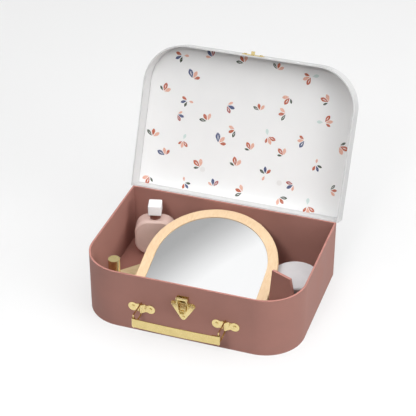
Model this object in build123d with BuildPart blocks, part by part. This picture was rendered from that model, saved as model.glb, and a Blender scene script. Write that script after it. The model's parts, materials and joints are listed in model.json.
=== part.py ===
from build123d import *
from math import cos, radians, sin, tan
import os

os.makedirs("parts", exist_ok=True)

# Toy beauty case: a small paperboard suitcase standing open with its toys inside.
# Origin at the middle of the underside, X to the right, -Y to the front, +Z up, in millimetres.

# Case base
case_width = 250.0
case_depth = 172.0
base_height = 73.0
board = 2.0
corner_radius = 46.0
floor_board = 2.0
liner_sheet = 0.8
liner_gap = 0.3

# Lid
lid_opening = 113.0
lid_board = 1.8
lid_side_gap = 0.3
lid_lap = 2.0
lid_inner_depth = 19.6
lining_sheet = 0.5
rim_gap = 0.3
stud_radius = 3.2
stud_height = 0.5
stud_spacing = 95.0
stud_from_hinge = 30.4

# Cloth hinge strip on the back
tape_thickness = 0.4
tape_length = 234.0
tape_leaf = 13.0
tape_fold_gap = 1.0

# Running fits and seats
running_fit = 0.07
seat_gap = 0.1
cut_margin = 1.0

# Rivet heads, shared by all fittings
rivet_head = 1.8
rivet_head_height = 0.8

# Flip-up latch on the front wall, its heights measured down from the case's rim
latch_plate = 0.9
latch_lobe = 3.3
latch_rivet_spacing = 21.6
latch_rivet_drop = 24.8
latch_tip_drop = 41.8
ear_inner = 5.5
ear_thickness = 0.9
ear_foot_drop = 30.0
pin_drop = 14.8
pin_standoff = 4.5
pin_radius = 0.8
pin_end = 0.6
ear_rim = 1.3
hasp_sheet = 0.8
hasp_barrel = 1.7
hasp_reach = 20.6
hasp_top_width = 10.4
hasp_tip_width = 6.8
hasp_tip_round = 1.7
hasp_set_back = 1.6
hasp_flange = 1.8
hasp_slot_width = 6.4
hasp_slot_height = 2.2
hasp_slot_drop = 4.4
hasp_window_width = 4.6
hasp_window_height = 3.2
hasp_window_reach = 17.0

# Keeper on the lid's front wall
keeper_width = 26.0
keeper_height = 10.0
keeper_corner = 3.3
keeper_sheet = 0.8
keeper_edge = 0.8
keeper_rivet_spacing = 19.0
keeper_nub_width = 4.0
keeper_nub_height = 2.4
keeper_nub_length = 4.0

# Handle
bracket_spacing = 97.0
bracket_drop = 41.0
bracket_plate = 0.8
bracket_lobe = 5.5
bracket_web = 9.0
bracket_pad = 8.4
bracket_rivet_spacing = 20.4
bracket_knuckle_height = 10.6
bracket_knuckle_wall = 0.8
bracket_knuckle_foot = 7.0
wire_radius = 0.8
ring_inner_height = 14.0
ring_outer_height = 16.0
ring_reach = 23.6
ring_standoff = 1.7
strap_end_gap = 1.2
strap_height = 11.0
strap_thickness = 0.9
strap_bow = 1.0
strap_lap = 7.0
open_pivot_gap = 0.3

# Standing divider in the front right corner, placed from the case's inner walls
divider_board = 3.0
divider_turn = -24.0
divider_top_height = 69.3
divider_top_width = 25.3
divider_left_flare = 5.0
divider_right_flare = 14.0
divider_flange = 9.0
divider_flange_width = 34.0
divider_from_side = 42.2
divider_from_front = 61.0

# Arched mirror, as wide as the pockets at its two sides leave room for
mirror_left_pocket = 43.5
mirror_right_pocket = 46.5
mirror_frame_width = 12.0
mirror_frame_thickness = 4.0
mirror_back_thickness = 3.0
mirror_glass_thickness = 3.2
mirror_glass_gap = 0.15
mirror_edge_bevel = 0.8
mirror_tilt = 19.0
mirror_wall_gap = 0.3
mirror_front_gap = 3.75

# Perfume bottle
perfume_from_side = 35.3
perfume_from_back = 23.0
perfume_turn = 15.0
perfume_width = 48.0
perfume_height = 48.0
perfume_thickness = 20.0
perfume_corner = 17.0
perfume_bevel = 2.4
perfume_neck_radius = 6.3
perfume_neck_height = 6.8
perfume_stem_radius = 4.0
perfume_stem_height = 6.0
perfume_cap_width = 15.5
perfume_cap_depth = 16.5
perfume_cap_height = 13.0
perfume_cap_bevel = 0.8
perfume_cap_top = 2.5

# Lipstick
lipstick_side_gap = 19.5
lipstick_front_gap = 31.6
lipstick_radius = 6.7
lipstick_base_height = 20.0
lipstick_collar_radius = 5.5
lipstick_collar_height = 7.0
lipstick_bullet_radius = 4.3
lipstick_bullet_height = 16.0
lipstick_bullet_slant = 35.0
lipstick_cap_height = 36.8
lipstick_cap_top = 1.6

# Powder jar
jar_side_gap = 0.6
jar_from_front = 110.8
jar_radius = 26.0
jar_body_height = 26.0
jar_wall = 3.5
jar_floor = 4.0
jar_lid_radius = 27.2
jar_lid_thickness = 4.0
jar_lid_bevel = 1.2
jar_plug_depth = 3.0

# Comb
comb_from_side = 12.4
comb_from_back = 80.1
comb_turn = 48.0
comb_length = 57.0
comb_start = -7.0
comb_width = 36.0
comb_thickness = 4.5
comb_corner = 4.0
comb_tooth_length = 17.0
comb_tooth_pitch = 4.4
comb_slot = 2.0
comb_end_tooth = 7.0


def rounded_front(width, depth, radius, shift):
    """Adds the case outline: square corners at the back, round ones at the front."""
    with Locations((0, shift)):
        Rectangle(width, depth)
    fillet(vertices().group_by(Axis.Y)[0], radius)


def arch(radius, bottom, side_top):
    """Adds an arch: straight sides from the bottom up, and a half circle on top."""
    with Locations((0, side_top)):
        Circle(radius)
        Rectangle(2 * radius, radius, align=(Align.CENTER, Align.MAX), mode=Mode.SUBTRACT)
    with Locations((0, bottom)):
        Rectangle(2 * radius, side_top - bottom, align=(Align.CENTER, Align.MIN))


def add_rivet_heads(places, seat, sheet):
    """Adds the heads of rivets that stand on a fitting of a sheet's thickness."""
    with BuildSketch(seat.offset(sheet)) as heads:
        with Locations(*places):
            Circle(rivet_head)
    extrude(heads.sketch, amount=rivet_head_height)


def keep(node, name):
    """Labels a finished piece and writes it under its own name."""
    node.part.label = name
    export_step(node.part, f"parts/{name}.step")


# Places that several pieces share
floor_top = floor_board + liner_sheet
toy_seat = floor_top + seat_gap
front_face = -case_depth / 2
back_face = case_depth / 2
inner_right = case_width / 2 - board
inner_left = -inner_right
inner_back = back_face - board
inner_front = -inner_back
front_plane = Plane(origin=(0, front_face, 0), x_dir=(1, 0, 0), z_dir=(0, -1, 0))
latch_rivets_at = [
    (-latch_rivet_spacing / 2, base_height - latch_rivet_drop),
    (latch_rivet_spacing / 2, base_height - latch_rivet_drop),
    (0, base_height - latch_tip_drop),
]
bracket_height = base_height - bracket_drop
bracket_rivets_at = [
    (side * bracket_spacing / 2 + end * bracket_rivet_spacing / 2, bracket_height)
    for side in (-1, 1)
    for end in (-1, 1)
]

# Base: side band, floor panel and floor liner
with BuildPart() as base_band:
    with BuildSketch(Plane.XY):
        rounded_front(case_width, case_depth, corner_radius, 0)
        offset(amount=-board, mode=Mode.SUBTRACT)
    extrude(amount=base_height)
keep(base_band, "base_band")

with BuildPart() as base_floor:
    with BuildSketch(Plane.XY):
        rounded_front(case_width - 2 * board, case_depth - 2 * board, corner_radius - board, 0)
    extrude(amount=floor_board)
keep(base_floor, "base_floor")

liner_inset = 2 * (board + liner_gap)
with BuildPart() as floor_liner:
    with BuildSketch(Plane.XY.offset(floor_board)):
        rounded_front(
            case_width - liner_inset, case_depth - liner_inset, corner_radius - liner_inset / 2, 0
        )
    extrude(amount=liner_sheet)
keep(floor_liner, "floor_liner")

# Lid, drawn in a frame whose origin is the hinge line and whose Y runs along the lid
swing = radians(lid_opening)
lid_frame = Plane(
    origin=(0, back_face, base_height), x_dir=(1, 0, 0), z_dir=(0, sin(swing), cos(swing))
)
lid_width = case_width + 2 * (lid_side_gap + lid_board)
lid_length = case_depth + lid_side_gap + lid_board
lid_radius = corner_radius + lid_side_gap + lid_board
lid_total_depth = lid_inner_depth + lining_sheet + lid_board
lid_middle = -lid_length / 2
lid_front = Plane(
    origin=lid_frame.from_local_coords((0, -lid_length, 0)),
    x_dir=(1, 0, 0),
    z_dir=-lid_frame.y_dir,
)
keeper_middle = keeper_edge - lid_lap + keeper_height / 2
keeper_rivets_at = [
    (-keeper_rivet_spacing / 2, keeper_middle),
    (keeper_rivet_spacing / 2, keeper_middle),
]

with BuildPart() as lid_band:
    with BuildSketch(lid_frame.offset(-lid_lap)):
        rounded_front(lid_width, lid_length, lid_radius, lid_middle)
        offset(amount=-lid_board, mode=Mode.SUBTRACT)
    extrude(amount=lid_lap + lid_total_depth)
    with BuildSketch(lid_frame.offset(-lid_lap)):
        Rectangle(lid_width - 2 * lid_board, lid_board, align=(Align.CENTER, Align.MAX))
    extrude(amount=lid_lap + rim_gap, mode=Mode.SUBTRACT)
keep(lid_band, "lid_band")

with BuildPart() as lid_panel:
    with BuildSketch(lid_frame.offset(lid_inner_depth + lining_sheet)):
        rounded_front(
            lid_width - 2 * lid_board, lid_length - 2 * lid_board, lid_radius - lid_board, lid_middle
        )
    extrude(amount=lid_board)
keep(lid_panel, "lid_panel")

lining_inset = 2 * (lid_board + liner_gap)
with BuildPart() as lid_lining:
    with BuildSketch(lid_frame.offset(lid_inner_depth)):
        rounded_front(
            lid_width - lining_inset,
            lid_length - lining_inset,
            lid_radius - lining_inset / 2,
            lid_middle,
        )
    extrude(amount=lining_sheet)
keep(lid_lining, "lid_lining")

with BuildPart() as lining_studs:
    with BuildSketch(lid_frame.offset(lid_inner_depth)):
        with Locations((-stud_spacing / 2, -stud_from_hinge), (stud_spacing / 2, -stud_from_hinge)):
            Circle(stud_radius)
    extrude(amount=-stud_height)
keep(lining_studs, "lining_studs")

# Cloth hinge strip: one leaf glued to the base, the other to the lid
with BuildPart() as hinge_leaf_base:
    with BuildSketch(Plane(origin=(0, back_face, base_height), x_dir=(-1, 0, 0), z_dir=(0, 1, 0))):
        with Locations((0, -tape_fold_gap)):
            Rectangle(tape_length, tape_leaf, align=(Align.CENTER, Align.MAX))
    extrude(amount=tape_thickness)
keep(hinge_leaf_base, "hinge_leaf_base")

with BuildPart() as hinge_leaf_lid:
    with BuildSketch(Plane(origin=lid_frame.origin, x_dir=(-1, 0, 0), z_dir=lid_frame.y_dir)):
        with Locations((0, tape_fold_gap)):
            Rectangle(tape_length, tape_leaf, align=(Align.CENTER, Align.MIN))
    extrude(amount=tape_thickness)
keep(hinge_leaf_lid, "hinge_leaf_lid")

# Latch plate with the two ears that carry the pin of the flip-up hasp
ear_outer = ear_inner + ear_thickness
ear_foot = base_height - ear_foot_drop
pin_height = base_height - pin_drop
neck_height = pin_height + ear_rim - ear_foot
with BuildPart() as latch_shield:
    with BuildSketch(front_plane):
        with Locations(*latch_rivets_at):
            Circle(latch_lobe)
        make_hull()
        with Locations((0, ear_foot)):
            Rectangle(2 * ear_outer, neck_height, align=(Align.CENTER, Align.MIN))
    extrude(amount=latch_plate)
    with BuildSketch(Plane(origin=(ear_inner, front_face, 0), x_dir=(0, -1, 0), z_dir=(-1, 0, 0))):
        with Locations((pin_standoff, pin_height)):
            Circle(pin_radius + ear_rim)
        with Locations((latch_plate / 2, ear_foot)):
            Rectangle(latch_plate, neck_height, align=(Align.MIN, Align.MIN))
        make_hull()
    extrude(amount=-ear_thickness)
    mirror(about=Plane.YZ)
    with BuildSketch(Plane(origin=(0, front_face, 0), x_dir=(0, -1, 0), z_dir=(-1, 0, 0))):
        with Locations((pin_standoff, pin_height)):
            Circle(pin_radius)
    extrude(amount=ear_outer + cut_margin, both=True, mode=Mode.SUBTRACT)
keep(latch_shield, "latch_shield")

with BuildPart() as latch_rivets:
    add_rivet_heads(latch_rivets_at, front_plane, latch_plate)
keep(latch_rivets, "latch_rivets")

pin_plane = Plane(
    origin=(0, front_face - pin_standoff, pin_height), x_dir=(0, -1, 0), z_dir=(-1, 0, 0)
)
with BuildPart() as latch_pin:
    with BuildSketch(pin_plane):
        Circle(pin_radius)
    extrude(amount=ear_outer + pin_end, both=True)
keep(latch_pin, "latch_pin")

# Hasp: a tapered tray of sheet brass that hangs from the pin and flips up over the nub
hasp_plane = Plane(
    origin=(0, front_face - pin_standoff, pin_height), x_dir=(1, 0, 0), z_dir=(0, -1, 0)
)
hasp_back = -hasp_set_back - hasp_sheet / 2
with BuildPart() as latch_hasp:
    with BuildSketch(hasp_plane.offset(hasp_back)) as hasp_outline:
        with BuildLine():
            Polyline(
                (-hasp_top_width / 2, 0),
                (hasp_top_width / 2, 0),
                (hasp_top_width / 2, -hasp_slot_drop),
                (hasp_tip_width / 2, -hasp_reach),
                (-hasp_tip_width / 2, -hasp_reach),
                (-hasp_top_width / 2, -hasp_slot_drop),
                close=True,
            )
        make_face()
        fillet(vertices().group_by(Axis.Y)[0], hasp_tip_round)
    extrude(amount=hasp_sheet + hasp_flange)
    with BuildSketch(hasp_plane.offset(hasp_back + hasp_sheet)):
        add(hasp_outline.sketch_local)
        offset(amount=-hasp_sheet, mode=Mode.REPLACE)
    extrude(amount=hasp_flange, mode=Mode.SUBTRACT)
    with BuildSketch(hasp_plane.offset(hasp_back)):
        with Locations((0, -hasp_slot_drop)):
            Rectangle(hasp_slot_width, hasp_slot_height)
        with Locations((0, -hasp_window_reach)):
            Rectangle(hasp_window_width, hasp_window_height)
    extrude(amount=hasp_sheet, mode=Mode.SUBTRACT)
    with BuildSketch(pin_plane):
        Circle(hasp_barrel)
    extrude(amount=hasp_top_width / 2, both=True)
    with BuildSketch(pin_plane):
        Circle(pin_radius + running_fit)
    extrude(amount=hasp_top_width, both=True, mode=Mode.SUBTRACT)
keep(latch_hasp, "latch_hasp")

# Keeper on the lid: its nub stands where the window of the flipped hasp comes
nub_height = pin_height + hasp_window_reach - base_height
with BuildPart() as keeper:
    with BuildSketch(lid_front):
        with Locations((0, keeper_middle)):
            RectangleRounded(keeper_width, keeper_height, keeper_corner)
    extrude(amount=keeper_sheet)
    with BuildSketch(lid_front):
        with Locations((0, nub_height)):
            Rectangle(keeper_nub_width, keeper_nub_height)
    extrude(amount=keeper_sheet + keeper_nub_length)
keep(keeper, "keeper")

with BuildPart() as keeper_rivets:
    add_rivet_heads(keeper_rivets_at, lid_front, keeper_sheet)
keep(keeper_rivets, "keeper_rivets")

# Handle: two riveted brackets, two wire rings that swing in their knuckles, and a strap
knuckle_radius = wire_radius + running_fit + bracket_knuckle_wall
ring_axis_y = front_face - ring_standoff
grip_axis_y = ring_axis_y - ring_reach
for name, side in (("left", -1), ("right", 1)):
    x = side * bracket_spacing / 2
    with BuildPart() as bracket:
        with BuildSketch(front_plane):
            with Locations(
                (x - bracket_rivet_spacing / 2, bracket_height),
                (x + bracket_rivet_spacing / 2, bracket_height),
            ):
                Circle(bracket_lobe)
            with Locations((x, bracket_height)):
                Rectangle(bracket_rivet_spacing, bracket_web)
                Rectangle(bracket_pad, bracket_knuckle_height)
        extrude(amount=bracket_plate)
        with BuildSketch(Plane.XY.offset(bracket_height)):
            with Locations((x, ring_axis_y)):
                Circle(knuckle_radius)
            with Locations((x, front_face)):
                Rectangle(bracket_knuckle_foot, bracket_plate, align=(Align.CENTER, Align.MAX))
            make_hull()
        extrude(amount=bracket_knuckle_height / 2, both=True)
        with BuildSketch(Plane.XY.offset(bracket_height)):
            with Locations((x, ring_axis_y)):
                Circle(wire_radius + running_fit)
        extrude(amount=bracket_knuckle_height, both=True, mode=Mode.SUBTRACT)
    keep(bracket, f"handle_bracket_{name}")

    ring_plane = Plane(
        origin=(x, ring_axis_y, bracket_height), x_dir=(0, -1, 0), z_dir=(-1, 0, 0)
    )
    with BuildPart() as ring:
        with BuildLine(ring_plane) as ring_path:
            Polyline(
                (0, 0),
                (0, ring_inner_height / 2),
                (ring_reach, ring_outer_height / 2),
                (ring_reach, -ring_outer_height / 2),
                (0, -ring_inner_height / 2),
                (0, 0),
            )
        with BuildSketch(Plane(origin=ring_path.line @ 0, z_dir=ring_path.line % 0)):
            Circle(wire_radius)
        sweep(transition=Transition.RIGHT)
    keep(ring, f"handle_ring_{name}")

with BuildPart() as handle_rivets:
    add_rivet_heads(bracket_rivets_at, front_plane, bracket_plate)
keep(handle_rivets, "handle_rivets")

roll_radius = wire_radius + open_pivot_gap + strap_thickness
strap_front = grip_axis_y - roll_radius
strap_bottom = bracket_height - ring_outer_height / 2 + strap_end_gap
half_strap = bracket_spacing / 2
with BuildPart() as handle_strap:
    with BuildSketch(Plane.XY.offset(strap_bottom)):
        with BuildLine():
            ThreePointArc(
                (-half_strap, strap_front), (0, strap_front - strap_bow), (half_strap, strap_front)
            )
            Line((half_strap, strap_front), (half_strap, strap_front + strap_thickness))
            ThreePointArc(
                (half_strap, strap_front + strap_thickness),
                (0, strap_front - strap_bow + strap_thickness),
                (-half_strap, strap_front + strap_thickness),
            )
            Line((-half_strap, strap_front + strap_thickness), (-half_strap, strap_front))
        make_face()
        for side in (-1, 1):
            with Locations((side * (half_strap - strap_lap / 2), strap_front + strap_thickness)):
                Rectangle(strap_lap, 2 * strap_thickness)
        with Locations((-half_strap, grip_axis_y), (half_strap, grip_axis_y)):
            Circle(roll_radius)
        with Locations((-half_strap, grip_axis_y)):
            Circle(wire_radius + running_fit, mode=Mode.SUBTRACT)
        with Locations((half_strap, grip_axis_y)):
            Circle(wire_radius + open_pivot_gap, mode=Mode.SUBTRACT)
    extrude(amount=strap_height)
keep(handle_strap, "handle_strap")

# Divider: a folded strip of the case's own board, with a glued flange and a standing tab
divider_plane = Plane(
    origin=(inner_right - divider_from_side, inner_front + divider_from_front, floor_top),
    x_dir=(cos(radians(divider_turn)), sin(radians(divider_turn)), 0),
    z_dir=(sin(radians(divider_turn)), -cos(radians(divider_turn)), 0),
)
divider_rise = divider_top_height - floor_top
with BuildPart() as divider:
    with BuildSketch(divider_plane):
        with BuildLine():
            Polyline(
                (-divider_rise * tan(radians(divider_left_flare)), 0),
                (divider_top_width + divider_rise * tan(radians(divider_right_flare)), 0),
                (divider_top_width, divider_rise),
                (0, divider_rise),
                close=True,
            )
        make_face()
    extrude(amount=-divider_board)
    with BuildSketch(divider_plane.offset(-divider_board)):
        Rectangle(divider_flange_width, divider_board, align=(Align.MIN, Align.MIN))
    extrude(amount=-divider_flange)
keep(divider, "divider")

# Arched mirror: it stands on the floor and its top leans on the back wall
tilt = radians(mirror_tilt)
mirror_outer_radius = (inner_right - inner_left - mirror_left_pocket - mirror_right_pocket) / 2
mirror_glass_radius = mirror_outer_radius - mirror_frame_width
mirror_height = (inner_back - inner_front - mirror_wall_gap - mirror_front_gap) / cos(tilt)
mirror_side_top = mirror_height - mirror_outer_radius
mirror_plane = Plane(
    origin=(
        inner_left + mirror_left_pocket + mirror_outer_radius,
        inner_front + mirror_front_gap,
        toy_seat,
    ),
    x_dir=(1, 0, 0),
    z_dir=(0, -sin(tilt), cos(tilt)),
)
mirror_face = Axis(mirror_plane.origin, mirror_plane.z_dir)

with BuildPart() as mirror_back:
    with BuildSketch(mirror_plane):
        arch(mirror_outer_radius, 0, mirror_side_top)
    extrude(amount=mirror_back_thickness)
keep(mirror_back, "mirror_back")

with BuildPart() as mirror_frame:
    with BuildSketch(mirror_plane.offset(mirror_back_thickness)):
        arch(mirror_outer_radius, 0, mirror_side_top)
    extrude(amount=mirror_frame_thickness)
    chamfer(edges().group_by(mirror_face)[-1], mirror_edge_bevel)
    with BuildSketch(mirror_plane.offset(mirror_back_thickness)):
        arch(mirror_glass_radius, mirror_frame_width, mirror_side_top)
    extrude(amount=mirror_frame_thickness, mode=Mode.SUBTRACT)
keep(mirror_frame, "mirror_frame")

with BuildPart() as mirror_glass:
    with BuildSketch(mirror_plane.offset(mirror_back_thickness)):
        arch(
            mirror_glass_radius - mirror_glass_gap,
            mirror_frame_width + mirror_glass_gap,
            mirror_side_top,
        )
    extrude(amount=mirror_glass_thickness)
keep(mirror_glass, "mirror_glass")

# Perfume bottle: a bevelled rounded slab, its neck with a stem, and a block of a cap
turn = radians(perfume_turn)
perfume_x = inner_left + perfume_from_side
perfume_y = inner_back - perfume_from_back
perfume_slab = Plane(
    origin=(perfume_x, perfume_y, toy_seat),
    x_dir=(cos(turn), sin(turn), 0),
    z_dir=(sin(turn), -cos(turn), 0),
)
perfume_top = Plane(
    origin=(perfume_x, perfume_y, toy_seat + perfume_height), x_dir=(cos(turn), sin(turn), 0)
)
with BuildPart() as perfume_body:
    with BuildSketch(perfume_slab):
        with Locations((0, perfume_height / 2)):
            RectangleRounded(perfume_width, perfume_height, perfume_corner)
    extrude(amount=perfume_thickness / 2, both=True)
    chamfer(
        edges().group_by(Axis(perfume_slab.origin, perfume_slab.z_dir))[0]
        + edges().group_by(Axis(perfume_slab.origin, perfume_slab.z_dir))[-1],
        perfume_bevel,
    )
keep(perfume_body, "perfume_body")

with BuildPart() as perfume_neck:
    with BuildSketch(perfume_top):
        Circle(perfume_neck_radius)
    extrude(amount=perfume_neck_height)
    with BuildSketch(perfume_top.offset(perfume_neck_height)):
        Circle(perfume_stem_radius)
    extrude(amount=perfume_stem_height)
keep(perfume_neck, "perfume_neck")

cap_seat = perfume_neck_height + seat_gap
with BuildPart() as perfume_cap:
    with BuildSketch(perfume_top.offset(cap_seat)):
        Rectangle(perfume_cap_width, perfume_cap_depth)
    extrude(amount=perfume_cap_height)
    chamfer(edges(), perfume_cap_bevel)
    with BuildSketch(perfume_top.offset(cap_seat)):
        Circle(perfume_stem_radius + running_fit)
    extrude(amount=perfume_cap_height - perfume_cap_top, mode=Mode.SUBTRACT)
keep(perfume_cap, "perfume_cap")

# Lipstick: base with collar, slanted bullet, and a cap that slips over the collar
lipstick_x = inner_left + lipstick_side_gap + lipstick_radius
lipstick_y = inner_front + lipstick_front_gap + lipstick_radius
lipstick_plane = Plane(origin=(lipstick_x, lipstick_y, toy_seat))
collar_top = lipstick_base_height + lipstick_collar_height
with BuildPart() as lipstick_base:
    with BuildSketch(lipstick_plane):
        Circle(lipstick_radius)
    extrude(amount=lipstick_base_height)
    with BuildSketch(lipstick_plane.offset(lipstick_base_height)):
        Circle(lipstick_collar_radius)
    extrude(amount=lipstick_collar_height)
keep(lipstick_base, "lipstick_base")

slant_rise = lipstick_bullet_radius * tan(radians(lipstick_bullet_slant))
with BuildPart() as lipstick_bullet:
    with BuildSketch(lipstick_plane.offset(collar_top)):
        Circle(lipstick_bullet_radius)
    extrude(amount=lipstick_bullet_height)
    split(
        bisect_by=Plane(
            origin=(lipstick_x, lipstick_y, toy_seat + collar_top + lipstick_bullet_height - slant_rise),
            z_dir=(sin(radians(lipstick_bullet_slant)), 0, cos(radians(lipstick_bullet_slant))),
        ),
        keep=Keep.BOTTOM,
    )
keep(lipstick_bullet, "lipstick_bullet")

with BuildPart() as lipstick_cap:
    with BuildSketch(lipstick_plane.offset(lipstick_base_height + seat_gap)):
        Circle(lipstick_radius)
    extrude(amount=lipstick_cap_height)
    with BuildSketch(lipstick_plane.offset(lipstick_base_height + seat_gap)):
        Circle(lipstick_collar_radius + running_fit)
    extrude(amount=lipstick_cap_height - lipstick_cap_top, mode=Mode.SUBTRACT)
keep(lipstick_cap, "lipstick_cap")

# Powder jar: hollow body and a lid whose plug drops into its mouth
jar_x = inner_right - jar_side_gap - jar_lid_radius
jar_plane = Plane(origin=(jar_x, inner_front + jar_from_front, toy_seat))
with BuildPart() as jar_body:
    with BuildSketch(jar_plane):
        Circle(jar_radius)
    extrude(amount=jar_body_height)
    with BuildSketch(jar_plane.offset(jar_floor)):
        Circle(jar_radius - jar_wall)
    extrude(amount=jar_body_height - jar_floor, mode=Mode.SUBTRACT)
keep(jar_body, "jar_body")

with BuildPart() as jar_lid:
    with BuildSketch(jar_plane.offset(jar_body_height + seat_gap)):
        Circle(jar_lid_radius)
    extrude(amount=jar_lid_thickness)
    chamfer(edges().group_by(Axis.Z)[-1], jar_lid_bevel)
    with BuildSketch(jar_plane.offset(jar_body_height + seat_gap)):
        Circle(jar_radius - jar_wall - running_fit)
    extrude(amount=-jar_plug_depth)
keep(jar_lid, "jar_lid")

# Comb lying on the floor, its back to the left wall and its teeth under the mirror
comb_plane = Plane(
    origin=(inner_left + comb_from_side, inner_back - comb_from_back, toy_seat),
    x_dir=(cos(radians(comb_turn)), sin(radians(comb_turn)), 0),
)
slot_count = int((comb_length - 2 * comb_end_tooth) // comb_tooth_pitch)
comb_middle = comb_start + comb_length / 2
with BuildPart() as comb:
    with BuildSketch(comb_plane):
        with Locations((comb_middle, -comb_width / 2)):
            RectangleRounded(comb_length, comb_width, comb_corner)
        with Locations((comb_middle, -comb_width)):
            with GridLocations(comb_tooth_pitch, 1, slot_count, 1):
                Rectangle(
                    comb_slot,
                    comb_tooth_length,
                    align=(Align.CENTER, Align.MIN),
                    mode=Mode.SUBTRACT,
                )
    extrude(amount=comb_thickness)
keep(comb, "comb")
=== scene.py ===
import json
import logging
import math
import random
from abc import ABC, abstractmethod
from dataclasses import dataclass, field, replace
from enum import Enum

import bpy
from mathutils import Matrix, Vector

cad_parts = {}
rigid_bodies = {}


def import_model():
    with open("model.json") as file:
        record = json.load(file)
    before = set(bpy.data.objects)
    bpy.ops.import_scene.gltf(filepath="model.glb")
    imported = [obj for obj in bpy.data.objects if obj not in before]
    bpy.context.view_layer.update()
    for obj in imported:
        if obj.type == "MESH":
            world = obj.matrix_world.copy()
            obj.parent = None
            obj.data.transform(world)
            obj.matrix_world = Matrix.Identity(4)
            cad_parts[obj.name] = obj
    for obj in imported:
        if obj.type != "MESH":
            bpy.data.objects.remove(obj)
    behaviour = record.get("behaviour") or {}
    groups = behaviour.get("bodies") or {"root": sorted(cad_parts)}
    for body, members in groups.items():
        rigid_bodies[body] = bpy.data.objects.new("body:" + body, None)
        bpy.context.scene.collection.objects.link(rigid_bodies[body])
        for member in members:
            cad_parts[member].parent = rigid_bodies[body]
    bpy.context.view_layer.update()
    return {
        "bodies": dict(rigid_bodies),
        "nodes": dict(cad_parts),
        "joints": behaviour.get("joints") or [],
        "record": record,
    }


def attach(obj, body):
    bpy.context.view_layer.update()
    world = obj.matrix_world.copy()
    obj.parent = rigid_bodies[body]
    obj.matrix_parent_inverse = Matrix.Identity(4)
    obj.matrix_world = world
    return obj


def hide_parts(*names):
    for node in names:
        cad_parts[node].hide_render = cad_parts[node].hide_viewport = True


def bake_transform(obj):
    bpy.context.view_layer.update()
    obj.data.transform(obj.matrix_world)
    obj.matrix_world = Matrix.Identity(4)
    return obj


log = logging.getLogger("beauty_case")

Colour = tuple[float, float, float]
Socket = bpy.types.NodeSocket
MM = 0.001


def srgb(red: int, green: int, blue: int) -> Colour:
    """Turns an 8-bit display colour into linear light.

    Args:
        red: red channel, 0 to 255.
        green: green channel, 0 to 255.
        blue: blue channel, 0 to 255.

    Returns:
        The colour as three linear values.
    """
    def channel(value: int) -> float:
        """Converts one channel."""
        part = value / 255
        return part / 12.92 if part <= 0.04045 else ((part + 0.055) / 1.055) ** 2.4

    return channel(red), channel(green), channel(blue)


def shades(colour: Colour, mottle: float) -> tuple[Colour, Colour]:
    """Gives a darker and a lighter shade of a colour.

    Args:
        colour: the middle colour.
        mottle: share by which the shades differ from it.

    Returns:
        The darker and the lighter shade.
    """
    dark = tuple(part * (1 - mottle) for part in colour)
    light = tuple(min(part * (1 + mottle), 1) for part in colour)
    return dark, light


class Ink(Enum):
    """Printing colours of the sprigs on the lid's lining."""

    RUST = srgb(182, 82, 42)
    PEACH = srgb(226, 172, 150)
    BRICK = srgb(160, 66, 62)
    NAVY = srgb(52, 66, 112)
    LEAF = srgb(44, 60, 38)
    MINT = srgb(206, 222, 218)


class Nodes:
    """A node tree with short calls to add and join nodes."""

    def __init__(self, tree: bpy.types.NodeTree) -> None:
        """Takes over a tree and empties it.

        Args:
            tree: a material's or world's node tree.
        """
        self.tree = tree
        self.tree.nodes.clear()

    def node(self, kind: str, **settings: object) -> bpy.types.Node:
        """Adds a node and sets its properties.

        Args:
            kind: the node's type name.
            **settings: properties of the node, by name.

        Returns:
            The new node.
        """
        made = self.tree.nodes.new(kind)
        for key, value in settings.items():
            setattr(made, key, value)
        return made

    def join(self, source: Socket, target: Socket) -> None:
        """Links one socket to another."""
        self.tree.links.new(source, target)

    def combine(self, operation: str, first: Socket, second: Socket) -> Socket:
        """Combines two values by a math operation.

        Args:
            operation: the operation's name.
            first: first value.
            second: second value.

        Returns:
            The result's socket.
        """
        made = self.node("ShaderNodeMath", operation=operation)
        self.join(first, made.inputs[0])
        self.join(second, made.inputs[1])
        return made.outputs[0]

    def ramp(self, factor: Socket, stops: list[tuple[float, Colour]]) -> Socket:
        """Maps a factor through a colour ramp.

        Args:
            factor: value to map.
            stops: position and colour of each stop.

        Returns:
            The colour socket.
        """
        made = self.node("ShaderNodeValToRGB")
        elements = made.color_ramp.elements
        while len(elements) < len(stops):
            elements.new(0.5)
        for element, (position, colour) in zip(elements, stops):
            element.position = position
            element.color = (*colour, 1)
        self.join(factor, made.inputs["Fac"])
        return made.outputs["Color"]


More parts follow.
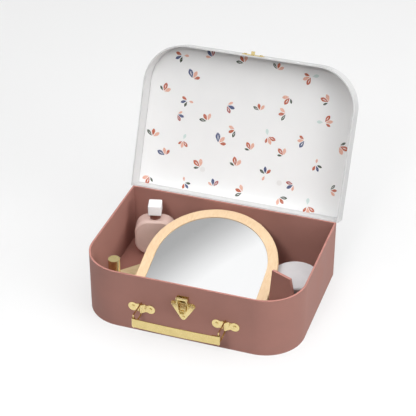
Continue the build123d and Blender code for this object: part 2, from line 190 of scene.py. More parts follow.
class Shader(Nodes):
    """A material around one Principled shader."""

    edge_round: float = 0.35 * MM

    def __init__(self, name: str) -> None:
        """Starts the material.

        Args:
            name: the material's name.
        """
        self.material = bpy.data.materials.new(name)
        self.material.use_nodes = True
        super().__init__(self.material.node_tree)
        self.surface = self.node("ShaderNodeBsdfPrincipled")
        output = self.node("ShaderNodeOutputMaterial")
        self.join(self.surface.outputs[0], output.inputs["Surface"])

    def set(self, **values: float | tuple[float, ...]) -> None:
        """Sets sockets of the surface, with underscores for the spaces in their names."""
        for name, value in values.items():
            self.surface.inputs[name.replace("_", " ")].default_value = value

    def drive(self, name: str, source: Socket) -> None:
        """Joins a socket to one of the surface's inputs."""
        self.join(source, self.surface.inputs[name])

    def place(self, scale: Vector | None = None, turn: float = 0.0) -> Socket:
        """Gives object coordinates, scaled and turned about X.

        Args:
            scale: scale per axis, 1 if left out.
            turn: angle about X, in radians.

        Returns:
            The vector socket.
        """
        coords = self.node("ShaderNodeTexCoord")
        mapping = self.node("ShaderNodeMapping")
        mapping.inputs["Scale"].default_value = tuple(scale) if scale else (1, 1, 1)
        mapping.inputs["Rotation"].default_value = (turn, 0, 0)
        self.join(coords.outputs["Object"], mapping.inputs["Vector"])
        return mapping.outputs["Vector"]

    def noise(
        self, vector: Socket, scale: float, detail: float = 3.0, rough: float = 0.5
    ) -> Socket:
        """Adds a noise texture.

        Args:
            vector: coordinates to read.
            scale: size of the noise, in repeats per metre.
            detail: octaves.
            rough: strength of the finer octaves.

        Returns:
            The noise's factor socket.
        """
        made = self.node("ShaderNodeTexNoise")
        made.inputs["Scale"].default_value = scale
        made.inputs["Detail"].default_value = detail
        made.inputs["Roughness"].default_value = rough
        self.join(vector, made.inputs["Vector"])
        return made.outputs["Fac"]

    def mix(self, factor: Socket, first: Socket | Colour, second: Socket | Colour) -> Socket:
        """Mixes two colours.

        Args:
            factor: share of the second colour.
            first: colour or socket at factor 0.
            second: colour or socket at factor 1.

        Returns:
            The mixed colour socket.
        """
        made = self.node("ShaderNodeMix", data_type="RGBA")
        self.join(factor, made.inputs["Factor"])
        for value, socket in ((first, made.inputs[6]), (second, made.inputs[7])):
            if isinstance(value, tuple):
                socket.default_value = (*value, 1)
            else:
                self.join(value, socket)
        return made.outputs[2]

    def value_range(
        self, value: Socket, low: float, high: float, to_low: float, to_high: float
    ) -> Socket:
        """Maps a value from one range to another, clamped.

        Args:
            value: value to map.
            low: lower end of its range.
            high: upper end of its range.
            to_low: result at the lower end.
            to_high: result at the upper end.

        Returns:
            The result's socket.
        """
        made = self.node("ShaderNodeMapRange")
        for socket, number in zip(made.inputs[1:5], (low, high, to_low, to_high)):
            socket.default_value = number
        self.join(value, made.inputs["Value"])
        return made.outputs["Result"]

    def bump(
        self, height: Socket, distance: float, strength: float, under: Socket | None = None
    ) -> Socket:
        """Adds a bump and joins it to the surface.

        Args:
            height: height socket.
            distance: height of the bump, in metres.
            strength: share of the bump that is used.
            under: a coarser bump that this one rides on; the rounded edges if left out.

        Returns:
            The bump's normal socket.
        """
        made = self.node("ShaderNodeBump")
        made.inputs["Distance"].default_value = distance
        made.inputs["Strength"].default_value = strength
        self.join(height, made.inputs["Height"])
        if under is None:
            edge = self.node("ShaderNodeBevel", samples=3)
            edge.inputs["Radius"].default_value = self.edge_round
            under = edge.outputs["Normal"]
        self.join(under, made.inputs["Normal"])
        self.drive("Normal", made.outputs["Normal"])
        return made.outputs["Normal"]


class Finish(ABC):
    """A surface finish."""

    @abstractmethod
    def build(self) -> bpy.types.Material:
        """Makes the finish's material."""


@dataclass(frozen=True)
class BoardFinish(Finish):
    """Matt paper-covered board, optionally with a painted highlight along its rounded top edge.
    """

    name: str
    colour: Colour
    rim_highlight_colour: Colour | None = None
    rim_highlight_height: float = 0.0
    rim_highlight_band: float = 0.5 * MM
    mottle: float = 0.05
    cloud_scale: float = 38
    fibre_scale: float = 1900
    fibre_length: Vector = field(default_factory=lambda: Vector((1, 1, 0.35)))
    fibre_height: float = 0.02 * MM
    fleck: float = 0.12
    roughness: float = 0.62
    rough_spread: float = 0.06
    gloss: float = 0.35
    wave_scale: float = 14
    wave_height: float = 0.25 * MM

    def build(self) -> bpy.types.Material:
        """Makes the material.

        Returns:
            The finished material.
        """
        shader = Shader(self.name)
        flat = shader.place()
        cloud = shader.noise(flat, self.cloud_scale, 4)
        dark, light = shades(self.colour, self.mottle)
        colour = shader.ramp(cloud, [(0.3, dark), (0.7, light)])
        fibre = shader.noise(shader.place(self.fibre_length), self.fibre_scale, 5, 0.6)
        fleck = shader.value_range(fibre, 0.62, 0.74, 0.0, self.fleck)
        colour = shader.mix(fleck, colour, light)
        # Painted highlight: a paler band just below the given height stands in for light on the
        # rounded top edge
        if self.rim_highlight_colour:
            split = shader.node("ShaderNodeSeparateXYZ")
            shader.join(flat, split.inputs[0])
            edge = shader.value_range(
                split.outputs["Z"], self.rim_highlight_height - self.rim_highlight_band, self.rim_highlight_height, 0, 1
            )
            colour = shader.mix(edge, colour, self.rim_highlight_colour)
        shader.drive("Base Color", colour)
        smooth, rough = self.roughness - self.rough_spread, self.roughness + self.rough_spread
        shader.drive("Roughness", shader.value_range(cloud, 0.3, 0.7, smooth, rough))
        shader.set(Specular_IOR_Level=self.gloss)
        wave = shader.bump(shader.noise(flat, self.wave_scale, 2), self.wave_height, 0.25)
        shader.bump(fibre, self.fibre_height, 0.6, wave)
        return shader.material


@dataclass(frozen=True)
class BrassFinish(Finish):
    """Pressed and polished brass with faint wear."""

    name: str
    colour: Colour = srgb(234, 214, 156)
    deep: Colour = srgb(228, 207, 147)
    roughness: float = 0.16
    wear: float = 0.16
    brushed: bool = False
    cloud_scale: float = 130
    wear_scale: float = 620
    dent_scale: float = 60
    dent_height: float = 0.1 * MM
    line_scale: float = 900
    line_crowding: float = 24
    line_height: float = 0.006 * MM

    def build(self) -> bpy.types.Material:
        """Makes the material.

        Returns:
            The finished material.
        """
        shader = Shader(self.name)
        shader.set(Metallic=1.0)
        flat = shader.place()
        cloud = shader.noise(flat, self.cloud_scale, 3)
        shader.drive("Base Color", shader.ramp(cloud, [(0.25, self.deep), (0.6, self.colour)]))
        worn = shader.noise(flat, self.wear_scale, 4, 0.6)
        rough = self.roughness + self.wear
        shader.drive("Roughness", shader.value_range(worn, 0.35, 0.75, self.roughness, rough))
        dents = shader.bump(shader.noise(flat, self.dent_scale, 2), self.dent_height, 0.15)
        crowding = Vector((1, 1, self.line_crowding if self.brushed else 1))
        lines = shader.noise(shader.place(crowding), self.line_scale, 3)
        shader.bump(lines, self.line_height * (2 if self.brushed else 1), 0.7, dents)
        return shader.material


@dataclass(frozen=True)
class WoodFinish(Finish):
    """Pale close-grained wood with fine lines along one direction."""

    name: str
    light: Colour
    dark: Colour
    stretch: Vector
    turn: float = 0.0
    roughness: float = 0.5
    gloss: float = 0.4
    line_scale: float = 520
    line_height: float = 0.03 * MM
    band_scale: float = 70
    pore_scale: float = 1500
    pore_stretch: float = 1.6
    pore_depth: float = 0.35

    def build(self) -> bpy.types.Material:
        """Makes the material.

        Returns:
            The finished material.
        """
        shader = Shader(self.name)
        long_grain = shader.place(self.stretch, self.turn)
        lines = shader.noise(long_grain, self.line_scale, 6, 0.62)
        band = shader.noise(long_grain, self.band_scale, 3, 0.5)
        middle = tuple((one + two) / 2 for one, two in zip(self.light, self.dark))
        fine = shader.ramp(lines, [(0.32, self.dark), (0.48, middle), (0.6, self.light)])
        colour = shader.mix(shader.value_range(band, 0.3, 0.75, 0.25, 0.75), fine, self.light)
        pore_grain = shader.place(self.stretch * self.pore_stretch, self.turn)
        spots = shader.noise(pore_grain, self.pore_scale, 2)
        pores = shader.value_range(spots, 0.66, 0.74, 0, self.pore_depth)
        shader.drive("Base Color", shader.mix(pores, colour, self.dark))
        rough, smooth = self.roughness + 0.08, self.roughness - 0.05
        shader.drive("Roughness", shader.value_range(lines, 0.3, 0.7, rough, smooth))
        shader.set(Specular_IOR_Level=self.gloss)
        shader.bump(lines, self.line_height, 0.5)
        return shader.material


@dataclass(frozen=True)
class PaintFinish(Finish):
    """Satin water-based paint on turned wood, with the grain faintly raised."""

    name: str
    colour: Colour
    roughness: float = 0.42
    mottle: float = 0.03
    coat: float = 0.12
    coat_roughness: float = 0.3
    cloud_scale: float = 90
    peel_scale: float = 700
    peel_height: float = 0.012 * MM
    grain_scale: float = 420
    grain_height: float = 0.03 * MM
    grain_stretch: Vector = field(default_factory=lambda: Vector((1, 1, 0.1)))

    def build(self) -> bpy.types.Material:
        """Makes the material.

        Returns:
            The finished material.
        """
        shader = Shader(self.name)
        flat = shader.place()
        cloud = shader.noise(flat, self.cloud_scale, 4)
        low, high = shades(self.colour, self.mottle)
        shader.drive("Base Color", shader.ramp(cloud, [(0.3, low), (0.7, high)]))
        peel = shader.noise(flat, self.peel_scale, 3)
        smooth, rough = self.roughness - 0.05, self.roughness + 0.08
        shader.drive("Roughness", shader.value_range(peel, 0.3, 0.7, smooth, rough))
        shader.set(Coat_Weight=self.coat, Coat_Roughness=self.coat_roughness)
        raised = shader.noise(shader.place(self.grain_stretch), self.grain_scale, 4)
        grain = shader.bump(raised, self.grain_height, 0.35)
        shader.bump(peel, self.peel_height, 0.5, grain)
        return shader.material


@dataclass(frozen=True)
class GlassFinish(Finish):
    """Silvered mirror glass."""

    name: str
    colour: Colour = (0.955, 0.96, 0.965)
    haze: float = 0.015
    haze_scale: float = 22
    smudge_scale: float = 300

    def build(self) -> bpy.types.Material:
        """Makes the material.

        Returns:
            The finished material.
        """
        shader = Shader(self.name)
        shader.set(Metallic=1.0)
        flat = shader.place()
        cloud = shader.noise(flat, self.haze_scale, 3)
        low = tuple(part * (1 - self.haze) for part in self.colour)
        shader.drive("Base Color", shader.ramp(cloud, [(0.3, low), (0.7, self.colour)]))
        smudge = shader.noise(flat, self.smudge_scale, 3)
        shader.drive("Roughness", shader.value_range(smudge, 0.5, 0.8, 0.015, 0.05))
        return shader.material


@dataclass(frozen=True)
class ClothFinish(Finish):
    """Plain-woven tape, with painted shade in the hollows between its threads."""

    name: str
    colour: Colour
    pitch: float = 3.456 * MM
    hollow: float = 0.82
    thread_height: float = 0.08 * MM

    def build(self) -> bpy.types.Material:
        """Makes the material.

        Returns:
            The finished material.
        """
        shader = Shader(self.name)
        flat = shader.place()
        threads = []
        for axis in ("X", "Z"):
            wave = shader.node("ShaderNodeTexWave", wave_type="BANDS", bands_direction=axis)
            # At scale 1 the bands repeat every pi / 10
            wave.inputs["Scale"].default_value = math.pi / 10 / self.pitch
            wave.inputs["Distortion"].default_value = 0.6
            wave.inputs["Detail"].default_value = 1.0
            shader.join(flat, wave.inputs["Vector"])
            threads.append(wave.outputs["Fac"])
        weave = shader.combine("MULTIPLY", *threads)
        # Painted shade: the low parts of the weave are darkened to the hollow share of the
        # colour
        dark = tuple(part * self.hollow for part in self.colour)
        shader.drive("Base Color", shader.ramp(weave, [(0.1, dark), (0.6, self.colour)]))
        shader.set(Roughness=0.88, Sheen_Weight=0.25)
        shader.bump(weave, self.thread_height, 0.6)
        return shader.material


@dataclass(frozen=True)
class InkFinish(Finish):
    """One printing colour: matt, slightly uneven, with the paper's fibre showing."""

    ink: Ink
    patch_scale: float = 900
    fibre_scale: float = 1900
    fibre_height: float = 0.015 * MM
    paper: float = 0.85
    thinning: float = 0.22

    def build(self) -> bpy.types.Material:
        """Makes the material.

        Returns:
            The finished material.
        """
        shader = Shader(f"ink_{self.ink.name.lower()}")
        flat = shader.place()
        patch = shader.noise(flat, self.patch_scale, 4, 0.6)
        thin = tuple(part + (self.paper - part) * self.thinning for part in self.ink.value)
        shader.drive("Base Color", shader.ramp(patch, [(0.38, thin), (0.55, self.ink.value)]))
        shader.set(Roughness=0.7)
        shader.bump(shader.noise(flat, self.fibre_scale, 4), self.fibre_height, 0.5)
        return shader.material


def dress(frame: dict, finish: Finish, *nodes: str) -> None:
    """Gives carried-over nodes a finish in all their material slots.

    Args:
        frame: the loaded frame.
        finish: the finish.
        *nodes: names of the nodes.
    """
    material = finish.build()
    for name in nodes:
        for slot in frame["nodes"][name].material_slots:
            slot.material = material
        log.info("dressed %s with %s", name, material.name)


@dataclass
class MeshPlan:
    """Points, faces and each face's material number, gathered for one mesh."""

    points: list[Vector] = field(default_factory=list)
    faces: list[tuple[int, ...]] = field(default_factory=list)
    pick: list[int] = field(default_factory=list)

    def add_shape(self, outline: list[Vector], material: int) -> None:
        """Adds one flat shape with its own points.

        Args:
            outline: points round the shape.
            material: number of its material.
        """
        first = len(self.points)
        self.points.extend(outline)
        self.faces.append(tuple(range(first, len(self.points))))
        self.pick.append(material)

    def build(self, name: str, *finishes: bpy.types.Material) -> bpy.types.Object:
        """Makes the mesh object.

        Args:
            name: the object's name.
            *finishes: its materials.

        Returns:
            The new object, linked to the scene.
        """
        mesh = bpy.data.meshes.new(name)
        mesh.from_pydata([tuple(point) for point in self.points], [], self.faces)
        for finish in finishes:
            mesh.materials.append(finish)
        for face, number in zip(mesh.polygons, self.pick):
            face.material_index = number
        mesh.update()
        made = bpy.data.objects.new(name, mesh)
        bpy.context.collection.objects.link(made)
        return made


@dataclass
class LidPlane:
    """The open lid's own axes, read from the hinge joint and the lid's opening angle."""

    hinge: Vector
    opening: float

    def __post_init__(self) -> None:
        """Works out the lid's axes in the open position."""
        self.along = Vector((0, -math.cos(self.opening), math.sin(self.opening)))
        self.into = Vector((0, math.sin(self.opening), math.cos(self.opening)))

    @classmethod
    def from_frame(cls, frame: dict) -> "LidPlane":
        """Reads the hinge line and the opening angle from the joints.

        Args:
            frame: the loaded frame.

        Returns:
            The lid's axes.
        """
        joint = next(one for one in frame["joints"] if one["name"] == "lid_hinge")
        opening = math.radians(-joint["range_deg"][0])
        return cls(Vector(joint["pos_m"]), opening)

    def point(self, across: float, along: float, depth: float) -> Vector:
        """Places a point on the lid.

        Args:
            across: distance to the right of the middle.
            along: distance from the hinge towards the lid's front edge.
            depth: distance from the rim into the lid.

        Returns:
            The point in the frame.
        """
        return self.hinge + Vector((across, 0, 0)) + self.along * along + self.into * depth


@dataclass
class CaseBase:
    """The base: paper-covered band, floor and divider."""

    board: Colour = srgb(163, 118, 108)
    # Painted highlight colour for the rounded top edges of the band and the divider
    edge: Colour = srgb(180, 126, 116)
    inside: Colour = srgb(150, 102, 92)
    rim_height: float = 73 * MM
    divider_height: float = 69.3 * MM

    def dress(self, frame: dict) -> None:
        """Finishes the base's nodes.

        Args:
            frame: the loaded frame.
        """
        # The band and the divider carry a painted highlight along their top edges
        band = BoardFinish("case_board", self.board, self.edge, self.rim_height)
        dress(frame, band, "base_band", "base_floor")
        dress(frame, BoardFinish("case_paper", self.inside), "floor_liner")
        divider = BoardFinish("divider_board", self.board, self.edge, self.divider_height)
        dress(frame, divider, "divider")


@dataclass(frozen=True)
class Petal:
    """One printed petal of a sprig, with its angle in degrees and its sizes in millimetres."""

    ink: Ink
    angle: float
    length: float
    width: float
    start: float
    hollow: bool = False

    def grown(self, size: float) -> "Petal":
        """Scales the petal.

        Args:
            size: scale.

        Returns:
            The scaled petal.
        """
        return replace(
            self, length=self.length * size, width=self.width * size, start=self.start * size
        )

    def heart(self, start: float = 0.2, length: float = 0.55, width: float = 0.16) -> "Petal":
        """Gives the pale middle of a hollow petal.

        Args:
            start: where it starts, as a share of the petal's length.
            length: its share of the length.
            width: its share of the width.

        Returns:
            The middle as a petal.
        """
        return replace(
            self, start=self.start + self.length * start, length=self.length * length,
            width=self.width * width,
        )

    def outline(self, steps: int = 9) -> list[tuple[float, float]]:
        """Draws the pointed petal along X.

        Args:
            steps: steps along each side.

        Returns:
            Points round the outline, in metres from the sprig's foot.
        """
        length, width, start = self.length * MM, self.width * MM, self.start * MM
        upper = []
        for step in range(steps + 1):
            share = step / steps
            half = width / 2 * math.sin(math.pi * share ** 1.35) ** 0.8
            upper.append((start + length * share, half))
        return upper + [(x, -y) for x, y in reversed(upper[1:-1])]


# Each row is one kind of sprig
SPRIGS = (
    (
        Petal(Ink.RUST, 84, 7.6, 3.6, 0.9, True),
        Petal(Ink.PEACH, 38, 6.4, 3.1, 0.9),
        Petal(Ink.LEAF, 132, 4.8, 1.9, 1.2),
    ),
    (
        Petal(Ink.NAVY, 104, 8.0, 3.9, 0.9, True),
        Petal(Ink.PEACH, 56, 6.6, 3.1, 0.9),
        Petal(Ink.RUST, 10, 5.4, 2.6, 1.2),
    ),
    (
        Petal(Ink.RUST, 128, 7.0, 3.4, 0.8, True),
        Petal(Ink.PEACH, 84, 6.6, 2.9, 1.0),
        Petal(Ink.RUST, 42, 5.0, 2.2, 1.2),
        Petal(Ink.MINT, 250, 5.6, 2.8, 1.2),
    ),
    (
        Petal(Ink.LEAF, 112, 6.4, 2.6, 1.0, True),
        Petal(Ink.RUST, 64, 6.0, 2.8, 1.0),
        Petal(Ink.PEACH, 16, 6.0, 2.8, 1.0),
    ),
    (
        Petal(Ink.BRICK, 52, 6.6, 3.0, 0.9, True),
        Petal(Ink.NAVY, 96, 6.8, 2.9, 0.9),
        Petal(Ink.PEACH, 142, 5.0, 2.2, 1.2),
    ),
    (
        Petal(Ink.NAVY, 72, 6.0, 2.5, 1.0),
        Petal(Ink.LEAF, 118, 5.4, 2.3, 1.0),
        Petal(Ink.RUST, 24, 5.4, 2.6, 1.0),
        Petal(Ink.PEACH, 222, 4.4, 2.1, 1.2),
    ),
)


@dataclass
class CaseLid:
    """The lid: white board, and a lining with a scattered leaf print."""

    white: Colour = (0.68, 0.68, 0.68)
    lining: Colour = (0.87, 0.87, 0.868)
    enamel: Colour = (0.8, 0.79, 0.78)
    board_mottle: float = 0.012
    paper_mottle: float = 0.01
    lining_depth: float = 19.6 * MM
    ink_lift: float = 0.03 * MM
    half_width: float = 112 * MM
    first_row: float = 11 * MM
    last_row: float = 165 * MM
    row_step: float = 25 * MM
    column_step: float = 40 * MM
    corner_start: float = 134 * MM
    corner_inset: float = 22 * MM
    wander: float = 4.5 * MM
    bare_centre: tuple[float, float] = (-2.4 * MM, 135 * MM)
    bare_radius: float = 25 * MM
    smallest: float = 1.2
    largest: float = 1.5
    kind_step: int = 5
    kind_run: int = 4
    seed: int = 11

    def dress(self, frame: dict) -> None:
        """Finishes the lid's nodes.

        Args:
            frame: the loaded frame.
        """
        board = BoardFinish("lid_board", self.white, mottle=self.board_mottle)
        dress(frame, board, "lid_band", "lid_panel")
        paper = BoardFinish("lining_print", self.lining, mottle=self.paper_mottle)
        dress(frame, paper, "lid_lining")
        dress(frame, PaintFinish("stud_enamel", self.enamel), "lining_studs")

    def sprig_places(self) -> list[tuple[float, float]]:
        """Scatters sprigs in staggered rows, off the corners and off the bare middle.

        Returns:
            Places as distance across and distance along the lining.
        """
        scatter = random.Random(self.seed)
        places = []
        rows = int((self.last_row - self.first_row) / self.row_step) + 1
        for row in range(rows):
            along = self.first_row + row * self.row_step
            reach = self.half_width - (self.corner_inset if along > self.corner_start else 0)
            offset = self.column_step / 2 if row % 2 else 0
            count = int((2 * reach - offset) / self.column_step) + 1
            for column in range(count):
                across = -reach + offset + column * self.column_step
                across += scatter.uniform(-1, 1) * self.wander
                place = (across, along + scatter.uniform(-1, 1) * self.wander)
                gap = math.dist(place, self.bare_centre)
                if gap > self.bare_radius and abs(place[0]) < self.half_width + self.wander:
                    places.append(place)
        return places

    def lay_petal(
        self, plane: LidPlane, petal: Petal, place: tuple[float, float], turn: float, layer: int
    ) -> list[Vector]:
        """Lays a petal's outline on the lining.

        Args:
            plane: the lid's axes.
            petal: the petal.
            place: the sprig's place on the lining.
            turn: the sprig's turn, in radians.
            layer: 1 for ink, 2 for what lies on it.

        Returns:
            The outline's points in the frame.
        """
        angle = turn + math.radians(petal.angle)
        depth = self.lining_depth - self.ink_lift * layer
        laid = []
        for x, y in petal.outline():
            across = place[0] + x * math.cos(angle) - y * math.sin(angle)
            along = place[1] + x * math.sin(angle) + y * math.cos(angle)
            laid.append(plane.point(across, along, depth))
        return laid

    def print_lining(self, plane: LidPlane) -> None:
        """Prints the sprigs as thin flat shapes on the lining.

        Args:
            plane: the lid's axes.
        """
        inks = list(Ink)
        finishes = [InkFinish(ink).build() for ink in inks]
        paper = BoardFinish("petal_paper", self.lining, mottle=self.paper_mottle).build()
        scatter = random.Random(self.seed + 1)
        plan = MeshPlan()
        for number, place in enumerate(self.sprig_places()):
            turn = scatter.uniform(0, 2 * math.pi)
            size = scatter.uniform(self.smallest, self.largest)
            # Kinds change by a step from sprig to sprig, and by one more after each run
            kind = number * self.kind_step + number // self.kind_run
            for petal in SPRIGS[kind % len(SPRIGS)]:
                grown = petal.grown(size)
                ink = inks.index(petal.ink)
                plan.add_shape(self.lay_petal(plane, grown, place, turn, 1), ink)
                if petal.hollow:
                    heart = self.lay_petal(plane, grown.heart(), place, turn, 2)
                    plan.add_shape(heart, len(inks))
        made = plan.build("lining_sprigs", *finishes, paper)
        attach(made, "case_lid")
        log.info("printed %d shapes on the lining", len(plan.faces))


@dataclass
class HingeStrip:
    """Woven tape glued along the back, folding between base and lid."""

    colour: Colour = srgb(226, 222, 216)
    half_length: float = 117 * MM
    leaf: float = 13 * MM
    fold_gap: float = 1.0 * MM
    thickness: float = 0.4 * MM
    columns: int = 60
    leaf_rows: int = 8
    fold_rows: int = 8

    def profile(self, plane: LidPlane) -> list[tuple[Vector, Vector]]:
        """Draws the strip's section from the base's back, over the fold, to the lid's back.

        Args:
            plane: the lid's axes.

        Returns:
            Points on the glued side, each with its outward direction.
        """
        back, outward = Vector((0, 1, 0)), -plane.along
        down = Vector((0, 0, -self.fold_gap))
        path = []
        for row in range(self.leaf_rows):
            drop = self.fold_gap + self.leaf * (1 - row / self.leaf_rows)
            path.append((plane.hinge - Vector((0, 0, drop)), back))
        for row in range(self.fold_rows + 1):
            share = row / self.fold_rows
            spot = plane.hinge + down * (1 - share) + plane.into * self.fold_gap * share
            path.append((spot, back.lerp(outward, share).normalized()))
        for row in range(1, self.leaf_rows + 1):
            rise = self.fold_gap + self.leaf * row / self.leaf_rows
            path.append((plane.hinge + plane.into * rise, outward))
        return path

    def skin(self, path: list[tuple[Vector, Vector]]) -> MeshPlan:
        """Makes a closed thin sheet along a section.

        Args:
            path: the section's points and outward directions.

        Returns:
            The sheet's points and faces.
        """
        plan = MeshPlan()
        for layer in (0.0, self.thickness):
            for spot, normal in path:
                for column in range(self.columns + 1):
                    across = self.half_length * (2 * column / self.columns - 1)
                    plan.points.append(spot + normal * layer + Vector((across, 0, 0)))
        rows, width = len(path), self.columns + 1
        top = rows * width
        for row in range(rows - 1):
            for column in range(self.columns):
                a = row * width + column
                plan.faces.append((a, a + width, a + width + 1, a + 1))
                plan.faces.append((top + a, top + a + 1, top + a + width + 1, top + a + width))
            for edge in (row * width, row * width + self.columns):
                ring = (edge, top + edge, top + edge + width, edge + width)
                plan.faces.append(ring if edge == row * width else ring[::-1])
        for column in range(self.columns):
            for row in (0, rows - 1):
                a = row * width + column
                ring = (a, a + 1, top + a + 1, top + a)
                plan.faces.append(ring if row == 0 else ring[::-1])
        return plan

    def build(self, plane: LidPlane) -> None:
        """Makes the strip in its open position.

        Args:
            plane: the lid's axes.
        """
        plan = self.skin(self.profile(plane))
        made = plan.build("hinge_strip", ClothFinish("hinge_cloth", self.colour).build())
        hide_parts("hinge_leaf_base", "hinge_leaf_lid")
        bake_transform(made)
        log.info("made the hinge strip")


@dataclass
class Fittings:
    """Brass latch, keeper, brackets, rings, strap and rivets."""

    plates: tuple[str, ...] = (
        "latch_shield", "latch_hasp", "keeper", "handle_bracket_left", "handle_bracket_right",
    )
    wires: tuple[str, ...] = ("handle_ring_left", "handle_ring_right", "latch_pin")
    rivets: tuple[str, ...] = ("latch_rivets", "keeper_rivets", "handle_rivets")
    strap: Colour = srgb(222, 202, 142)
    strap_deep: Colour = srgb(215, 194, 134)
    wire_deep: Colour = srgb(170, 126, 60)
    rivet_roughness: float = 0.22

    def dress(self, frame: dict) -> None:
        """Finishes the metal fittings.

        Args:
            frame: the loaded frame.
        """
        dress(frame, BrassFinish("brass"), *self.plates)
        dress(frame, BrassFinish("brass_strap", self.strap, self.strap_deep), "handle_strap")
        dress(frame, BrassFinish("brass_wire", deep=self.wire_deep), *self.wires)
        dress(frame, BrassFinish("brass_rivet", roughness=self.rivet_roughness), *self.rivets)


@dataclass
class MirrorSet:
    """Arched mirror of pale wood."""

    wood: Colour = srgb(225, 197, 161)
    grain: Colour = srgb(210, 176, 135)
    stretch: Vector = field(default_factory=lambda: Vector((1, 0.05, 1)))
    tilt: float = math.radians(19)

    def dress(self, frame: dict) -> None:
        """Finishes the mirror.

        Args:
            frame: the loaded frame.
        """
        wood = WoodFinish("light_wood", self.wood, self.grain, self.stretch, -self.tilt)
        dress(frame, wood, "mirror_frame", "mirror_back")
        dress(frame, GlassFinish("mirror_glass"), "mirror_glass")


@dataclass
class Toys:
    """The small toys: perfume bottle, lipstick, powder jar and comb."""

    pink: Colour = srgb(214, 187, 178)
    # The neck's brown is partly its own terracotta colour and partly painted shade under the
    # cap
    neck_brown_and_shade: Colour = srgb(110, 66, 56)
    white: Colour = srgb(244, 244, 246)
    # The jar lid is white like the cap; this greyer white is painted shade on it
    pale: Colour = srgb(205, 204, 206)
    red: Colour = srgb(176, 70, 66)
    red_roughness: float = 0.35
    gold_roughness: float = 0.14
    jar: Colour = srgb(176, 200, 198)
    comb_light: Colour = srgb(214, 196, 156)
    comb_dark: Colour = srgb(192, 168, 122)
    comb_stretch: Vector = field(default_factory=lambda: Vector((0.12, 1, 1)))

    def dress(self, frame: dict) -> None:
        """Finishes the toys.

        Args:
            frame: the loaded frame.
        """
        gold = BrassFinish("brass_lacquer", roughness=self.gold_roughness, brushed=True)
        comb = WoodFinish("comb_wood", self.comb_light, self.comb_dark, self.comb_stretch)
        looks: list[tuple[Finish, tuple[str, ...]]] = [
            (PaintFinish("perfume_paint", self.pink), ("perfume_body",)),
            (PaintFinish("dark_wood", self.neck_brown_and_shade), ("perfume_neck",)),
            (PaintFinish("white_paint", self.white), ("perfume_cap",)),
            (PaintFinish("jar_lid_shaded_white", self.pale), ("jar_lid",)),
            (gold, ("lipstick_base", "lipstick_cap")),
            (PaintFinish("lipstick_red", self.red, self.red_roughness), ("lipstick_bullet",)),
            (PaintFinish("jar_paint", self.jar), ("jar_body",)),
            (comb, ("comb",)),
        ]
        for finish, nodes in looks:
            dress(frame, finish, *nodes)


@dataclass
class Lamp:
    """A soft square lamp: place, aim and size in metres, power, and spread in degrees."""

    name: str
    place: tuple[float, float, float]
    aim: tuple[float, float, float]
    size: float
    watts: float
    spread: float = 180

    def hang(self) -> None:
        """Adds the lamp to the scene."""
        data = bpy.data.lights.new(self.name, "AREA")
        data.shape = "SQUARE"
        data.size = self.size
        data.energy = self.watts
        data.spread = math.radians(self.spread)
        lamp = bpy.data.objects.new(self.name, data)
        lamp.location = self.place
        sight = Vector(self.aim) - Vector(self.place)
        lamp.rotation_euler = sight.to_track_quat("-Z", "Y").to_euler()
        lamp.visible_glossy = False
        bpy.context.collection.objects.link(lamp)
        log.info("hung %s", self.name)


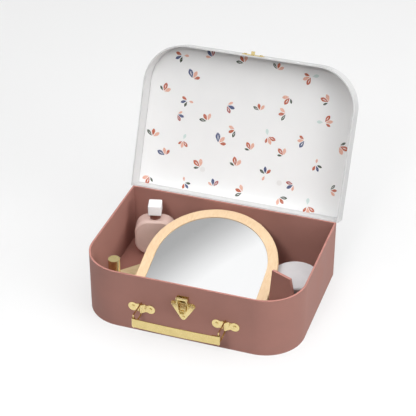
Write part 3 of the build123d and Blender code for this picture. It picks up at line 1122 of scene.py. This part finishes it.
@dataclass
class Studio:
    """Pale floor, soft light and the camera."""

    floor_half: float = 6.0
    floor_steps: int = 12
    floor_colour: Colour = (0.3, 0.3, 0.3)
    floor_roughness: float = 0.9
    floor_glow: float = 0.6
    camera_place: tuple[float, float, float] = (0.41074, -1.20643, 0.94789)
    camera_pitch: float = math.radians(56.98)
    camera_turn: float = math.radians(18.85)
    lens: float = 119.25
    sensor: float = 36.0
    ambient: float = 0.1
    # Brightness that metal and glass show, by height: 0 at the horizon or below, 1 straight up
    ceiling: tuple[tuple[float, float], ...] = (
        (0.0, 1.0), (0.3, 0.95), (0.7, 0.42), (0.9215, 0.42), (0.9272, 0.64), (0.9325, 1.0),
    )
    # The front lamp's narrow beam is aimed low, so that it fades towards the lid's top
    lamps: tuple[Lamp, ...] = (
        Lamp("overhead", (0.2, 0.1, 1.6), (0.2, 0.1, 0), 2.6, 36),
        Lamp("front_fill", (-0.1, -1.5, 1.35), (0, -0.3, 0), 0.5, 1.15, 40),
        Lamp("right_side", (1.7, -0.4, 0.9), (0, 0, 0.05), 1.1, 21),
    )

    def build_floor(self) -> None:
        """Makes the floor as a gridded sheet that keeps the object's shadow."""
        shader = Shader("studio_floor")
        shader.set(
            Base_Color=(*self.floor_colour, 1), Roughness=self.floor_roughness,
            Emission_Color=(1, 1, 1, 1),
        )
        path = shader.node("ShaderNodeLightPath")
        seen = path.outputs["Is Camera Ray"]
        for ray in ("Is Glossy Ray", "Is Transmission Ray"):
            seen = shader.combine("MAXIMUM", seen, path.outputs[ray])
        glow = shader.node("ShaderNodeMath", operation="MULTIPLY")
        glow.inputs[1].default_value = self.floor_glow
        shader.join(seen, glow.inputs[0])
        shader.drive("Emission Strength", glow.outputs[0])
        steps, row = self.floor_steps, self.floor_steps + 1
        marks = [self.floor_half * (2 * step / steps - 1) for step in range(row)]
        plan = MeshPlan([Vector((x, y, 0)) for y in marks for x in marks])
        for j in range(steps):
            for a in range(j * row, j * row + steps):
                plan.faces.append((a, a + 1, a + row + 1, a + row))
        plan.build("studio_floor", shader.material)
        log.info("made the floor")

    def build_world(self) -> None:
        """Makes the surroundings: even ambient light, and the soft ceiling that metal shows."""
        world = bpy.data.worlds.new("studio")
        bpy.context.scene.world = world
        world.use_nodes = True
        nodes = Nodes(world.node_tree)
        output = nodes.node("ShaderNodeOutputWorld")
        coords = nodes.node("ShaderNodeTexCoord")
        split = nodes.node("ShaderNodeSeparateXYZ")
        nodes.join(coords.outputs["Generated"], split.inputs[0])
        stops = [(height, (level,) * 3) for height, level in self.ceiling]
        shown = nodes.ramp(split.outputs["Z"], stops)
        ceiling, backdrop, even = (nodes.node("ShaderNodeBackground") for _ in range(3))
        nodes.join(shown, ceiling.inputs["Color"])
        backdrop.inputs["Color"].default_value = (1, 1, 1, 1)
        even.inputs["Color"].default_value = (1, 1, 1, 1)
        even.inputs["Strength"].default_value = self.ambient
        path = nodes.node("ShaderNodeLightPath")
        mirrored = nodes.combine(
            "MAXIMUM", path.outputs["Is Glossy Ray"], path.outputs["Is Transmission Ray"]
        )
        light = even.outputs[0]
        for factor, other in ((mirrored, ceiling), (path.outputs["Is Camera Ray"], backdrop)):
            mixed = nodes.node("ShaderNodeMixShader")
            nodes.join(factor, mixed.inputs[0])
            nodes.join(light, mixed.inputs[1])
            nodes.join(other.outputs[0], mixed.inputs[2])
            light = mixed.outputs[0]
        nodes.join(light, output.inputs["Surface"])
        log.info("made the surroundings")

    def add_camera(self) -> None:
        """Places the camera at the photograph's viewpoint."""
        data = bpy.data.cameras.new("camera")
        data.lens = self.lens
        data.sensor_width = self.sensor
        data.sensor_fit = "HORIZONTAL"
        camera = bpy.data.objects.new("camera", data)
        camera.location = self.camera_place
        camera.rotation_euler = (self.camera_pitch, 0, self.camera_turn)
        bpy.context.collection.objects.link(camera)
        bpy.context.scene.camera = camera
        log.info("placed the camera")

    def build(self) -> None:
        """Makes floor, surroundings, lamps and camera."""
        bpy.context.scene.view_settings.view_transform = "Standard"
        self.build_floor()
        self.build_world()
        for lamp in self.lamps:
            lamp.hang()
        self.add_camera()


def main() -> None:
    """Builds every sub-assembly around the frame and reports each piece."""
    logging.basicConfig(level=logging.INFO, format="%(name)s: %(message)s")
    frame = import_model()
    plane = LidPlane.from_frame(frame)
    CaseBase().dress(frame)
    lid = CaseLid()
    lid.dress(frame)
    lid.print_lining(plane)
    HingeStrip().build(plane)
    Fittings().dress(frame)
    MirrorSet().dress(frame)
    Toys().dress(frame)
    Studio().build()


if __name__ == "__main__":
    main()
